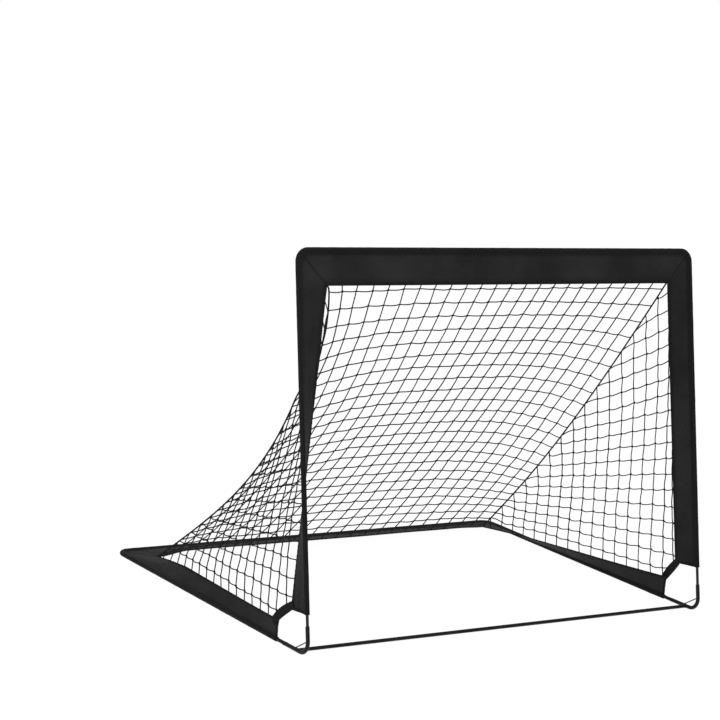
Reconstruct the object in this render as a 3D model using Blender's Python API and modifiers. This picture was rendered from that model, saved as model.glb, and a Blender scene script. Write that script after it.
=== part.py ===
"""Folding soccer goal: poles in sewn fabric bands, steel corner elbows and a knotted net.

Metres, +Z up. X runs across the goal, +Y points into the net. The origin is on the ground,
in the middle of the goal's plan.
"""

import math

import bmesh
import bpy
from mathutils import Matrix, Vector, geometry

# Driving dimensions
GOAL_W = 1.220            # between the post centre lines
GOAL_H = 0.920            # crossbar centre line above the ground
GOAL_D = 0.900            # post feet to rear pole centre line
LEAN = 0.200              # the crossbar stands this far behind the post feet
FIT = 0.0003              # gap between pieces that touch or slide

POLE_R = 0.0036           # fibreglass pole
BORE_PLAY = 0.0003        # pole to the bore it plugs into
SOCKET_DEPTH = 0.041      # how far a pole goes into a corner tube or an eye

CORNER_WALL = 0.0008      # hidden steel corner tubes
CORNER_LEG = 0.050        # straight leg of a corner tube, past its bend
TOP_BEND_R = 0.028        # centre-line bends
REAR_BEND_R = 0.028

ELBOW_WALL = 0.0011       # front elbows
ELBOW_BEND_R = 0.0275     # centre-line bend
ELBOW_LEG = 0.034         # straight leg above the bend, to the mouth
ELBOW_SOCKET = 0.025      # how far the post goes into the elbow
PIVOT_SETBACK = 0.098     # pivot line behind the post feet
EYE_T = 0.0028            # flat of the pivot eye
EYE_WALL = 0.0006         # wall of the eye's socket
EYE_TIP_SET = 0.0001      # the flat's rounded end is this much smaller than the socket
EYE_NECK = 0.0090         # pivot line to the eye's socket shoulder
EYE_WEB = 0.0056          # solid metal between the shoulder and the socket's floor
RIVET_R = 0.0018
RIVET_PLAY = 0.0004       # rivet to its holes
RIVET_HEAD_R = 0.0033
RIVET_HEAD_T = 0.0013

BAR_R = 0.0045            # front ground bar
BAR_WALL = 0.0009
BAR_PAST_BEND = 0.0137    # end of the elbow's bend to the bar's centre line
BAR_TO_LEG = 0.0015       # bar's ends to the elbows' centre lines, before coping
BRACE_R = 0.0011          # wire across the elbow
BRACE_PAST_BEND = 0.026   # end of the elbow's bend to the brace's lower end

BAND_W = 0.076            # pole centre line to the band's inner edge
BAND_T = 0.0016           # two layers of cloth sewn flat
SLEEVE_PLAY = 0.0003      # corner tube to the sewn channel
SLEEVE_T = 0.0011         # cloth of the channel, at its corners
SLEEVE_SEAM = 0.0028      # stitch line past the channel
REAR_EDGE_Z = 0.0042      # height of the ground bands' inner edge at the back
POST_BAND_END = 0.108     # lower end of the post bands above the ground
POST_BAND_BACK = 0.068    # width of the post bands' lower end
SIDE_BAND_FRONT = 0.133   # front end of the side bands behind the post feet
SIDE_BAND_TALL = 0.047    # height of the side bands' front end

STRAP_W = 0.020
STRAP_T = 0.0013
STRAP_BOW = 0.0045        # how far the strap bows away from the elbow
STRAP_LAP_HIGH = 0.013    # sewn length on the post band
STRAP_LAP_LOW = 0.020     # sewn length on the side band

NET_STRAND = 0.0022
NET_DIVISIONS = 11        # cells along each seam, post and ground edge
SEAM_R = 0.0022
SEAM_SAG = 0.116          # drop of a seam below a straight line, at its middle
SEAM_BOW = 0.061          # how far the net's pull draws it inward there
SEAM_LEAD = 0.79          # how much more of both lies in the seam's upper half
BACK_SAG = 0.055          # drop in the middle of the back net, which hangs higher than its seams
NET_GAP = 0.0004          # net to the band's sewn edge
NET_PAST_STRAP = 0.014    # side nets start this far past the strap's sewn ends

TUBE_SIDES = 16
HIDDEN_SIDES = 12
CHANNEL_SIDES = 12
ELBOW_STEPS = 8           # steps in an elbow's bend
BEND_STEPS = 6            # steps in the bend of a corner tube and its band
STRAP_STEPS = 8
PAST = 0.010              # how far a cutter runs past what it cuts
SKIM = 0.00005            # how far an outline clears a face that it must not graze

# Lines that the pieces share
ACROSS = Vector((1, 0, 0))
BACK = Vector((0, 1, 0))
UP = Vector((0, 0, 1))
BORE_R = POLE_R + BORE_PLAY
CORNER_R = BORE_R + CORNER_WALL
ELBOW_R = BORE_R + ELBOW_WALL
EYE_R = BORE_R + EYE_WALL
SLEEVE_BORE_R = CORNER_R + SLEEVE_PLAY
SLEEVE_R = SLEEVE_BORE_R + SLEEVE_T
GROUND_Z = max(SLEEVE_R, ELBOW_R)
POST_DIR = Vector((0, LEAN, GOAL_H - GROUND_Z)).normalized()
NET_TO_BAND = BAND_T / 2 + NET_GAP
NET_TO_SEAM = SEAM_R + 2 * FIT

# The elbow's front sets how far the goal reaches forward of the post feet. The origin lies midway
# between that front and the back of the rear sleeve.
ELBOW_TURN = math.pi / 2 + math.asin(POST_DIR.y)
ELBOW_TANGENT = ELBOW_BEND_R * math.tan(ELBOW_TURN / 2)
FRONT_REACH = ELBOW_R * POST_DIR.z - ELBOW_TANGENT * POST_DIR.y
FRONT_Y = -(GOAL_D + SLEEVE_R - FRONT_REACH) / 2
REAR_Y = FRONT_Y + GOAL_D
PIVOT_Y = FRONT_Y + PIVOT_SETBACK


def side_name(stem, side):
    return f"{stem}_left" if side < 0 else f"{stem}_right"


def foot(side):
    return Vector((side * GOAL_W / 2, FRONT_Y, GROUND_Z))


def head(side):
    return Vector((side * GOAL_W / 2, FRONT_Y + LEAN, GOAL_H))


def rear(side):
    return Vector((side * GOAL_W / 2, REAR_Y, GROUND_Z))


def pivot_point(side):
    return Vector((side * GOAL_W / 2, PIVOT_Y, GROUND_Z))


def on_post(side, height):
    """Point of the post's centre line at a height above the ground."""
    return foot(side) + POST_DIR * ((height - GROUND_Z) / POST_DIR.z)


def fillet(corner, toward_a, toward_b, radius, steps):
    """Arc that rounds a corner between two directions, from the first to the second."""
    a, b = toward_a.normalized(), toward_b.normalized()
    half = a.angle(b) / 2
    centre = corner + (a + b).normalized() * (radius / math.sin(half))
    start = corner + a * (radius / math.tan(half)) - centre
    axis = start.cross(corner + b * (radius / math.tan(half)) - centre)
    turn = math.pi - 2 * half
    return [centre + Matrix.Rotation(turn * k / steps, 3, axis) @ start for k in range(steps + 1)]


# Scene, collections and materials
for old in list(bpy.data.objects):
    bpy.data.objects.remove(old, do_unlink=True)

parts = bpy.data.collections.new("folding_soccer_goal")
cutters = bpy.data.collections.new("cutters")
for collection in (parts, cutters):
    bpy.context.scene.collection.children.link(collection)

FINISHES = {
    "steel": ((0.012, 0.012, 0.013, 1), 0.42, 0.6),
    "pole": ((0.010, 0.010, 0.011, 1), 0.50, 0.0),
    "cloth": ((0.018, 0.018, 0.019, 1), 0.85, 0.0),
    "webbing": ((0.010, 0.010, 0.010, 1), 0.80, 0.0),
    "twine": ((0.012, 0.012, 0.012, 1), 0.75, 0.0),
}


def material(name, finish):
    colour, roughness, metallic = FINISHES[finish]
    made = bpy.data.materials.new(name)
    made.use_nodes = True
    shader = made.node_tree.nodes["Principled BSDF"]
    shader.inputs["Base Color"].default_value = colour
    shader.inputs["Roughness"].default_value = roughness
    shader.inputs["Metallic"].default_value = metallic
    made.diffuse_color = colour
    return made


def add_object(name, mesh, finish=None, origin=None):
    """Link a mesh as a finished part, or as a cutter where it has no finish."""
    made = bpy.data.objects.new(name, mesh)
    if origin is not None:
        mesh.transform(Matrix.Translation(-Vector(origin)))
        made.location = origin
    if finish is None:
        made.hide_render = True
        made.display_type = "WIRE"
        cutters.objects.link(made)
    else:
        mesh.materials.clear()
        mesh.materials.append(material(name, finish))
        parts.objects.link(made)
    return made


def rod_mesh(points, radius, sides=TUBE_SIDES):
    """Round bar along the points, as a mesh with welded flat ends."""
    curve = bpy.data.curves.new("rod", "CURVE")
    curve.dimensions = "3D"
    curve.bevel_depth = radius
    curve.bevel_resolution = (sides - 4) // 2
    curve.use_fill_caps = True
    spline = curve.splines.new("POLY")
    spline.points.add(len(points) - 1)
    for slot, point in zip(spline.points, points):
        slot.co = (*point, 1)
    source = bpy.data.objects.new("rod", curve)
    bpy.context.scene.collection.objects.link(source)
    bpy.context.view_layer.update()
    mesh = bpy.data.meshes.new_from_object(source.evaluated_get(bpy.context.evaluated_depsgraph_get()))
    bpy.data.objects.remove(source, do_unlink=True)
    bpy.data.curves.remove(curve)
    bm = bmesh.new()
    bm.from_mesh(mesh)
    bmesh.ops.remove_doubles(bm, verts=bm.verts, dist=1e-6)
    bmesh.ops.recalc_face_normals(bm, faces=bm.faces)
    bm.to_mesh(mesh)
    bm.free()
    return mesh


def smooth(made, degrees=35):
    made.data.shade_smooth()
    made.data.set_sharp_from_angle(angle=math.radians(degrees))


def add_rod(name, points, radius, finish, origin=None, sides=TUBE_SIDES):
    made = add_object(name, rod_mesh(points, radius, sides), finish, origin)
    smooth(made)
    return made


def cut(target, cutter, operation="DIFFERENCE"):
    modifier = target.modifiers.new(cutter.name, "BOOLEAN")
    modifier.operation = operation
    modifier.object = cutter


def plate_mesh(outline, thickness):
    """Flat plate across X: an outline given as points, with half the thickness to each side."""
    bm = bmesh.new()
    face = bm.faces.new([bm.verts.new(point - ACROSS * thickness / 2) for point in outline])
    moved = bmesh.ops.extrude_face_region(bm, geom=[face])["geom"]
    far_side = [item for item in moved if isinstance(item, bmesh.types.BMVert)]
    bmesh.ops.translate(bm, vec=ACROSS * thickness, verts=far_side)
    bmesh.ops.recalc_face_normals(bm, faces=bm.faces)
    mesh = bpy.data.meshes.new("plate")
    bm.to_mesh(mesh)
    bm.free()
    return mesh


def half_disc(centre, radius, toward, steps=12):
    """Half circle in the YZ plane, from above the centre to below it, bulging toward +Y or -Y."""
    angles = [math.pi * k / steps for k in range(steps + 1)]
    return [centre + BACK * (toward * radius * math.sin(a)) + UP * (radius * math.cos(a)) for a in angles]


# Front elbows: bored bent tubes. The rear leg ends in a rounded fork, slotted for the pivot eye.
def rivet_hole(name, side):
    """Drill across the pivot, turned half a facet so that its edges miss the tubes' own edges."""
    pivot = pivot_point(side)
    drill = rod_mesh([pivot - ACROSS * PAST, pivot + ACROSS * PAST], RIVET_R + RIVET_PLAY)
    half_facet = Matrix.Rotation(math.pi / TUBE_SIDES, 4, ACROSS)
    drill.transform(Matrix.Translation(pivot) @ half_facet @ Matrix.Translation(-pivot))
    return add_object(side_name(name, side), drill)


def elbow_mouth(side):
    return foot(side) + POST_DIR * (ELBOW_TANGENT + ELBOW_LEG)


for side in (-1, 1):
    pivot = pivot_point(side)
    bend = fillet(foot(side), POST_DIR, BACK, ELBOW_BEND_R, ELBOW_STEPS)
    mouth, end = elbow_mouth(side), pivot + BACK * ELBOW_R
    elbow = add_rod(side_name("elbow", side), [mouth, *bend, end], ELBOW_R, "steel", origin=pivot)

    bore_path = [mouth + POST_DIR * PAST, *bend, end + BACK * PAST]
    cut(elbow, add_object(side_name("elbow_bore", side), rod_mesh(bore_path, BORE_R)))

    floor, far, tall = BACK * (-EYE_R - 2 * FIT), BACK * (ELBOW_R + PAST), UP * (ELBOW_R + PAST)
    slot = [pivot + corner for corner in (floor - tall, far - tall, far + tall, floor + tall)]
    cut(elbow, add_object(side_name("elbow_slot", side), plate_mesh(slot, EYE_T + 2 * FIT)))

    fork_r = ELBOW_R + SKIM
    ahead = BACK * -(PIVOT_SETBACK + ELBOW_R + PAST)
    above = UP * (mouth.z + PAST)
    silhouette = half_disc(pivot, fork_r, 1)
    silhouette += [pivot + ahead - UP * fork_r, pivot + ahead + above]
    silhouette += [pivot - BACK * fork_r + above, pivot - BACK * fork_r + UP * fork_r]
    rounder = add_object(side_name("elbow_silhouette", side), plate_mesh(silhouette, 2 * (ELBOW_R + PAST)))
    cut(elbow, rounder, "INTERSECT")
    cut(elbow, rivet_hole("elbow_rivet_hole", side))


# Braces: wires welded across the inside of each elbow
for side in (-1, 1):
    leg = foot(side) + POST_DIR * ELBOW_TANGENT
    sill = foot(side) + BACK * (ELBOW_TANGENT + BRACE_PAST_BEND)
    reach = (sill - leg).normalized()
    stand_off = ELBOW_R + 2 * FIT
    trim_leg = stand_off / reach.cross(POST_DIR).length + BRACE_R / math.tan(reach.angle(-POST_DIR))
    trim_sill = stand_off / reach.cross(BACK).length + BRACE_R / math.tan(reach.angle(BACK))
    wire = [leg + reach * trim_leg, sill - reach * trim_sill]
    add_rod(side_name("brace", side), wire, BRACE_R, "steel", origin=pivot_point(side), sides=8)


# Front ground bar: a tube coped onto the elbows' rear legs
bar_y = FRONT_Y + ELBOW_TANGENT + BAR_PAST_BEND
bar_z = GROUND_Z - ELBOW_R + BAR_R
bar_ends = [Vector((side * (GOAL_W / 2 - BAR_TO_LEG), bar_y, bar_z)) for side in (-1, 1)]
bar = add_rod("front_bar", bar_ends, BAR_R, "steel", origin=(0, PIVOT_Y, GROUND_Z))
cope_r = (ELBOW_R + FIT) / math.cos(math.pi / TUBE_SIDES)
for side in (-1, 1):
    leg = Vector((side * GOAL_W / 2, bar_y, GROUND_Z))
    cope = rod_mesh([leg - BACK * (BAR_R + PAST), leg + BACK * (BAR_R + PAST)], cope_r)
    cut(bar, add_object(side_name("front_bar_cope", side), cope))
bore_ends = [Vector((side * GOAL_W / 2, bar_y, bar_z)) for side in (-1, 1)]
cut(bar, add_object("front_bar_bore", rod_mesh(bore_ends, BAR_R - BAR_WALL, HIDDEN_SIDES)))


# Pivot eyes: a socket for the side pole and a flat tongue in the elbow's slot
for side in (-1, 1):
    pivot = pivot_point(side)
    shoulder = pivot + BACK * EYE_NECK
    rim = shoulder + BACK * SOCKET_DEPTH
    eye = add_rod(side_name("pivot_eye", side), [shoulder, rim], EYE_R, "steel", origin=pivot)
    root = shoulder + BACK * (EYE_WEB / 2)
    tip_r = EYE_R - EYE_TIP_SET
    tongue = half_disc(pivot, tip_r, -1) + [root - UP * tip_r, root + UP * tip_r]
    cut(eye, add_object(side_name("eye_tongue", side), plate_mesh(tongue, EYE_T)), "UNION")
    socket = [shoulder + BACK * EYE_WEB, rim + BACK * PAST]
    cut(eye, add_object(side_name("eye_socket", side), rod_mesh(socket, BORE_R)))
    cut(eye, rivet_hole("eye_rivet_hole", side))


# Rivets: a turned pin with a domed head at each end, on the pivot line
def rivet_mesh():
    seat = ELBOW_R + FIT
    profile = [
        (0, seat + RIVET_HEAD_T),
        (RIVET_HEAD_R * 0.55, seat + RIVET_HEAD_T * 0.88),
        (RIVET_HEAD_R, seat + RIVET_HEAD_T * 0.35),
        (RIVET_HEAD_R, seat),
        (RIVET_R, seat),
    ]
    profile += [(r, -h) for r, h in reversed(profile)]
    bm = bmesh.new()
    points = [bm.verts.new((r, 0, h)) for r, h in profile]
    edges = [bm.edges.new(pair) for pair in zip(points, points[1:])]
    turned = points + edges
    bmesh.ops.spin(bm, geom=turned, axis=UP, angle=2 * math.pi, steps=TUBE_SIDES, use_merge=True)
    bmesh.ops.remove_doubles(bm, verts=bm.verts, dist=1e-6)
    bmesh.ops.recalc_face_normals(bm, faces=bm.faces)
    bmesh.ops.rotate(bm, verts=bm.verts, matrix=Matrix.Rotation(math.pi / 2, 3, "Y"))
    mesh = bpy.data.meshes.new("rivet")
    bm.to_mesh(mesh)
    bm.free()
    return mesh


for side in (-1, 1):
    rivet = add_object(side_name("pivot_rivet", side), rivet_mesh(), "steel")
    rivet.location = pivot_point(side)
    smooth(rivet)


# Poles, each plugged into a corner piece or an elbow at both ends
def pole_end(corner, toward, radius):
    """Where a pole stops: just short of the bend of the corner tube it plugs into."""
    return corner + toward * (radius + CORNER_LEG - SOCKET_DEPTH)


for side in (-1, 1):
    pivot = pivot_point(side)
    post_low = elbow_mouth(side) - POST_DIR * ELBOW_SOCKET
    post_high = pole_end(head(side), -POST_DIR, TOP_BEND_R)
    add_rod(side_name("post_pole", side), [post_low, post_high], POLE_R, "pole", origin=pivot)
    side_front = pivot + BACK * (EYE_NECK + EYE_WEB + FIT)
    side_rear = pole_end(rear(side), -BACK, REAR_BEND_R)
    add_rod(side_name("side_pole", side), [side_front, side_rear], POLE_R, "pole", origin=pivot)

frame_origin = Vector((0, PIVOT_Y, GROUND_Z))
rear_origin = Vector((0, REAR_Y, GROUND_Z))
top_ends = [pole_end(head(side), ACROSS * -side, TOP_BEND_R) for side in (-1, 1)]
rear_ends = [pole_end(rear(side), ACROSS * -side, REAR_BEND_R) for side in (-1, 1)]
add_rod("crossbar_pole", top_ends, POLE_R, "pole", origin=frame_origin)
add_rod("rear_pole", rear_ends, POLE_R, "pole", origin=rear_origin)


# Corner tubes, hidden in the bands
def add_corner(name, corner, toward_a, toward_b, radius, origin):
    bend = fillet(corner, toward_a, toward_b, radius, BEND_STEPS)
    end_a, end_b = bend[0] + toward_a * CORNER_LEG, bend[-1] + toward_b * CORNER_LEG
    tube = add_rod(name, [end_a, *bend, end_b], CORNER_R, "steel", origin=origin, sides=HIDDEN_SIDES)
    bore_r = BORE_R / math.cos(math.pi / HIDDEN_SIDES)
    bore = rod_mesh([end_a + toward_a * PAST, *bend, end_b + toward_b * PAST], bore_r, HIDDEN_SIDES)
    cut(tube, add_object(name + "_bore", bore))


for side in (-1, 1):
    inward = ACROSS * -side
    add_corner(side_name("top_corner", side), head(side), -POST_DIR, inward, TOP_BEND_R, pivot_point(side))
    add_corner(side_name("rear_corner", side), rear(side), -BACK, inward, REAR_BEND_R, rear(side))


# Fabric bands: a sewn channel round the pole and a flat flange, swept between two lines
def band_mesh(spine, edge):
    """Loft of the channel-and-flange section, from each spine point and its direction to the edge."""
    step = 2 * math.pi / CHANNEL_SIDES
    angles = [step * (k + 0.5) for k in range(CHANNEL_SIDES)]
    bore_r = SLEEVE_BORE_R / math.cos(step / 2)
    bm = bmesh.new()
    rings = []
    for (point, along), tip in zip(spine, edge):
        ruling = tip - point
        out = (ruling - along * ruling.dot(along)).normalized()
        normal = along.cross(out)
        flange = ruling.normalized()
        outer = [point + (out * math.cos(a) + normal * math.sin(a)) * SLEEVE_R for a in angles]
        seam = point + flange * (SLEEVE_R + SLEEVE_SEAM)
        outer += [seam - normal * BAND_T / 2, tip - normal * BAND_T / 2]
        outer += [tip + normal * BAND_T / 2, seam + normal * BAND_T / 2]
        bore = [point + (out * math.cos(a) + normal * math.sin(a)) * bore_r for a in angles]
        rings.append(([bm.verts.new(p) for p in outer], [bm.verts.new(p) for p in bore]))
    for (outer_a, bore_a), (outer_b, bore_b) in zip(rings, rings[1:]):
        for ring_a, ring_b in ((outer_a, outer_b), (bore_a, bore_b)):
            for k in range(len(ring_a)):
                n = (k + 1) % len(ring_a)
                bm.faces.new((ring_a[k], ring_a[n], ring_b[n], ring_b[k]))
    last = CHANNEL_SIDES - 1
    for outer, bore in (rings[0], rings[-1]):
        for k in range(last):
            bm.faces.new((outer[k], outer[k + 1], bore[k + 1], bore[k]))
        bm.faces.new((outer[last], *outer[last + 1:], outer[0], bore[0], bore[last]))
    bmesh.ops.triangulate(bm, faces=bm.faces)
    bmesh.ops.recalc_face_normals(bm, faces=bm.faces)
    mesh = bpy.data.meshes.new("band")
    bm.to_mesh(mesh)
    bm.free()
    return mesh


def spine_with_tangents(points, ends):
    """Pair each point with its direction of travel; the ends take the directions given."""
    tangents = [(b - a).normalized() for a, b in zip(points, points[2:])]
    return list(zip(points, [ends[0], *tangents, ends[1]]))


def half_corner(corner, toward_a, toward_b, radius, steps=BEND_STEPS // 2):
    """Second half of a rounded corner, from the mitre to its straight, and the mitre's direction."""
    bend = fillet(corner, toward_a, toward_b, radius, 2 * steps)[steps:]
    mitre = (toward_b.normalized() - toward_a.normalized()).normalized()
    return bend, mitre


def spaced(a, b, count):
    return [a.lerp(b, k / count) for k in range(1, count + 1)]


def add_band(name, start, finish_point, end_dir, edge_a, edge_b, origin, far=None, steps=12):
    """Band from a mitred corner to a plain end, or to a second mitred corner."""
    arc, mitre = start
    trim = mitre * (FIT / 2)
    if far is None:
        points = arc + spaced(arc[-1], finish_point, steps)
        ends = (mitre, end_dir)
        points[0] = points[0] + trim
    else:
        far_arc, far_mitre = far
        points = arc + spaced(arc[-1], far_arc[-1], steps)[:-1] + list(reversed(far_arc))
        ends = (mitre, -far_mitre)
        points[0] = points[0] + trim
        points[-1] = points[-1] + far_mitre * (FIT / 2)
        edge_b = edge_b + far_mitre * (FIT / 2)
    lengths = [0.0]
    for a, b in zip(points, points[1:]):
        lengths.append(lengths[-1] + (b - a).length)
    edge_a = edge_a + trim
    edge = [edge_a.lerp(edge_b, length / lengths[-1]) for length in lengths]
    made = add_object(name, band_mesh(spine_with_tangents(points, ends), edge), "cloth", origin)
    smooth(made)
    return made


def top_inner(side):
    """Inner corner where the crossbar band and the post band meet."""
    return head(side) + Vector((-side * BAND_W, 0, 0)) - POST_DIR * BAND_W


def rear_inner(side):
    corner = rear(side) + Vector((-side * BAND_W, -BAND_W, 0))
    corner.z = REAR_EDGE_Z
    return corner


def post_inner(side):
    """Lower end of the post band's inner edge, turned back into the side plane."""
    low = on_post(side, POST_BAND_END)
    return low + POST_DIR.cross(ACROSS) * POST_BAND_BACK


def side_inner(side):
    """Front end of the side band's inner edge, standing above the pole."""
    return Vector((side * GOAL_W / 2, FRONT_Y + SIDE_BAND_FRONT, GROUND_Z + SIDE_BAND_TALL))


for side in (-1, 1):
    inward = ACROSS * -side
    add_band(
        side_name("post_band", side),
        half_corner(head(side), inward, -POST_DIR, TOP_BEND_R),
        on_post(side, POST_BAND_END), -POST_DIR,
        top_inner(side), post_inner(side), pivot_point(side),
    )
    side_end = foot(side) + BACK * SIDE_BAND_FRONT
    add_band(
        side_name("side_band", side),
        half_corner(rear(side), inward, -BACK, REAR_BEND_R),
        side_end, -BACK,
        rear_inner(side), side_inner(side), rear(side),
    )
add_band(
    "crossbar_band",
    half_corner(head(-1), -POST_DIR, ACROSS, TOP_BEND_R), None, None,
    top_inner(-1), top_inner(1), frame_origin,
    far=half_corner(head(1), -POST_DIR, -ACROSS, TOP_BEND_R), steps=2,
)
add_band(
    "rear_band",
    half_corner(rear(-1), -BACK, ACROSS, REAR_BEND_R), None, None,
    rear_inner(-1), rear_inner(1), rear_origin,
    far=half_corner(rear(1), -BACK, -ACROSS, REAR_BEND_R), steps=2,
)


# Straps: flat webbing across the open corner, sewn to the outside of both bands
for side in (-1, 1):
    high, low = post_inner(side), side_inner(side)
    run = (low - high).normalized()
    bow = ACROSS.cross(run)
    offset = bow * (STRAP_W / 2 - BAND_T)
    a, b = high - run * STRAP_LAP_HIGH + offset, low + run * STRAP_LAP_LOW + offset
    shares = [k / STRAP_STEPS for k in range(STRAP_STEPS + 1)]
    centres = [a.lerp(b, share) + bow * (STRAP_BOW * math.sin(math.pi * share)) for share in shares]
    one_edge = [point + bow * STRAP_W / 2 for point in centres]
    other_edge = [point - bow * STRAP_W / 2 for point in centres]
    beside = ACROSS * (side * (BAND_T / 2 + FIT + STRAP_T / 2))
    outline = [point + beside for point in one_edge + other_edge[::-1]]
    add_object(side_name("strap", side), plate_mesh(outline, STRAP_T), "webbing", origin=pivot_point(side))


# Seams and nets. Both nets along a seam share its divisions, so that their edges run with the cord.
def slack(share):
    """How much of its full sag hanging net has at a share of the way down: 0, about 1 and 0."""
    return 4 * share * (1 - share) * (1 + SEAM_LEAD * (0.5 - share))


def seam_point(side, share):
    straight = top_inner(side).lerp(rear_inner(side), share)
    return straight - Vector((side * SEAM_BOW, 0, SEAM_SAG)) * slack(share)


def seam_direction(side, share):
    near = 0.5 / NET_DIVISIONS
    return (seam_point(side, min(1, share + near)) - seam_point(side, max(0, share - near))).normalized()


for side in (-1, 1):
    stations = [seam_point(side, k / NET_DIVISIONS) for k in range(NET_DIVISIONS + 1)]
    clear = SEAM_R + BAND_T / 2 + FIT
    first, last = (stations[1] - stations[0]).normalized(), (stations[-2] - stations[-1]).normalized()
    stations[0] += first * (clear / first.y)
    stations[-1] += last * (clear / last.z)
    add_rod(side_name("seam_cord", side), stations, SEAM_R, "twine", origin=rear(side), sides=8)


def lattice(bm, width):
    """Turn each face of a sheet into an open cell, and the sheet's lines into flat strands."""
    bm.normal_update()
    opened = bmesh.ops.inset_individual(bm, faces=bm.faces[:], thickness=width / 2, use_even_offset=True)
    rims = set(opened["faces"])
    bmesh.ops.delete(bm, geom=[f for f in bm.faces if f not in rims], context="FACES")


def add_net(name, bm, origin):
    lattice(bm, NET_STRAND)
    mesh = bpy.data.meshes.new(name)
    bm.to_mesh(mesh)
    bm.free()
    made = add_object(name, mesh, "twine", origin)
    thickness = made.modifiers.new("strand", "SOLIDIFY")
    thickness.thickness = NET_STRAND
    thickness.offset = 0
    thickness.use_even_offset = False
    return made


def back_net_point(across, down):
    """Across from 0 at the left seam to 1 at the right one, down from the crossbar to the rear band."""
    left = seam_point(-1, down) + Vector((NET_TO_SEAM, 0, 0))
    right = seam_point(1, down) - Vector((NET_TO_SEAM, 0, 0))
    point = left.lerp(right, across)
    from_middle = abs(2 * across - 1)
    point.z += (SEAM_SAG - BACK_SAG) * (1 - from_middle ** 3) * slack(down)
    downhill = (BACK - UP).normalized()
    if down == 0:
        point += downhill * NET_TO_BAND
    if down == 1:
        point -= downhill * (NET_TO_BAND + BAND_T / 2)
    return point


sheet = bmesh.new()
bmesh.ops.create_grid(sheet, x_segments=NET_DIVISIONS, y_segments=NET_DIVISIONS, size=0.5)
for vert in sheet.verts:
    vert.co = back_net_point(round(vert.co.x + 0.5, 6), round(0.5 - vert.co.y, 6))
add_net("back_net", sheet, (0, REAR_Y, GROUND_Z))


def past_strap(start, end, lap):
    """Point of a band's inner edge, from the strap's end of it, where the side net starts."""
    return start + (end - start).normalized() * (lap + NET_PAST_STRAP)


def side_front_point(side, up):
    """Front edge of a side net: its first cell spans the open corner, the rest climb the post band."""
    if up == 0:
        return past_strap(side_inner(side), rear_inner(side), STRAP_LAP_LOW) + UP * NET_TO_BAND
    turn = past_strap(post_inner(side), top_inner(side), STRAP_LAP_HIGH)
    climb = (up * NET_DIVISIONS - 1) / (NET_DIVISIONS - 1)
    return turn.lerp(top_inner(side), climb) + BACK * NET_TO_BAND


def side_low_point(side, back):
    """Lower edge of a side net, just above the side band's inner edge."""
    return side_front_point(side, 0).lerp(rear_inner(side), back) + UP * (NET_TO_BAND + FIT)


def meeting_seam(side, share, edge_a, edge_b):
    """Where an edge of the side net meets the line just under the seam's first or last cell."""
    cell = [seam_point(side, share), seam_point(side, abs(share - 1 / NET_DIVISIONS))]
    below = seam_direction(side, share).cross(ACROSS).normalized() * NET_TO_SEAM
    return geometry.intersect_line_line(edge_a, edge_b, cell[0] + below, cell[1] + below)[0]


def side_net_point(side, back, up):
    """Back runs from 0 at the post to 1 at the rear corner, and up from the ground band to the seam."""
    if back == 0:
        point = side_front_point(side, up)
        return point if up < 1 else meeting_seam(side, 0, side_front_point(side, 0.5), point)
    low = side_low_point(side, back)
    if back == 1:
        return meeting_seam(side, 1, side_low_point(side, 0.5), low)
    below_seam = seam_direction(side, back).cross(ACROSS).normalized()
    seam = seam_point(side, back) + below_seam * NET_TO_SEAM
    return low.lerp(seam, up / (1 - back))


for side in (-1, 1):
    sheet = bmesh.new()
    bmesh.ops.create_grid(sheet, x_segments=NET_DIVISIONS, y_segments=NET_DIVISIONS, size=0.5)
    bmesh.ops.translate(sheet, verts=sheet.verts, vec=(0.5, 0.5, 0))
    everything = sheet.verts[:] + sheet.edges[:] + sheet.faces[:]
    diagonal = {"plane_co": (0.5, 0.5, 0), "plane_no": (1, 1, 0)}
    bmesh.ops.bisect_plane(sheet, geom=everything, dist=1e-4, clear_outer=True, **diagonal)
    for vert in sheet.verts:
        vert.co = side_net_point(side, round(vert.co.x, 6), round(vert.co.y, 6))
    add_net(side_name("side_net", side), sheet, rear(side))
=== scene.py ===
import bisect
import math
import random

import bmesh
import bpy
from mathutils import Matrix, Vector, noise


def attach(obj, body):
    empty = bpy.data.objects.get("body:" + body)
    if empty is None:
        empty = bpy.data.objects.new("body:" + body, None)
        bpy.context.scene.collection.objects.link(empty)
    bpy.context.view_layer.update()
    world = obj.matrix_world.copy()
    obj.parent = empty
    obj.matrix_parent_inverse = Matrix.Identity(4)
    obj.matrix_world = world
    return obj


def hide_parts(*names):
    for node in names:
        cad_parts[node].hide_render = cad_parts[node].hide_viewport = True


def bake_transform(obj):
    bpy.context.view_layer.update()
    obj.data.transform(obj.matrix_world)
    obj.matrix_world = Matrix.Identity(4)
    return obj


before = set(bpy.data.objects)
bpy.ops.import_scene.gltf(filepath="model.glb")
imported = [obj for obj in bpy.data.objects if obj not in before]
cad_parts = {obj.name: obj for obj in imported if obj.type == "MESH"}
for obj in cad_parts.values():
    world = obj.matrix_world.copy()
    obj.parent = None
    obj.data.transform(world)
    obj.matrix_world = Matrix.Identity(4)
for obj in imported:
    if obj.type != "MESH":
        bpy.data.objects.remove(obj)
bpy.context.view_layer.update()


# The camera stands left of the goal and a little above it, and looks to the right and down.
# It is turned slightly about its own line of sight, as the photograph is.
ACROSS, BACK, UP = Vector((1, 0, 0)), Vector((0, 1, 0)), Vector((0, 0, 1))
CAMERA_PLACE = Vector((-3.618, -4.715, 1.663))
turned, tipped, rolled = math.radians(35.78), math.radians(10.38), math.radians(5.69)
ahead = Vector((math.sin(turned), math.cos(turned), 0))
beside = Vector((math.cos(turned), -math.sin(turned), 0))
sight = ahead * math.cos(tipped) - UP * math.sin(tipped)
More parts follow.
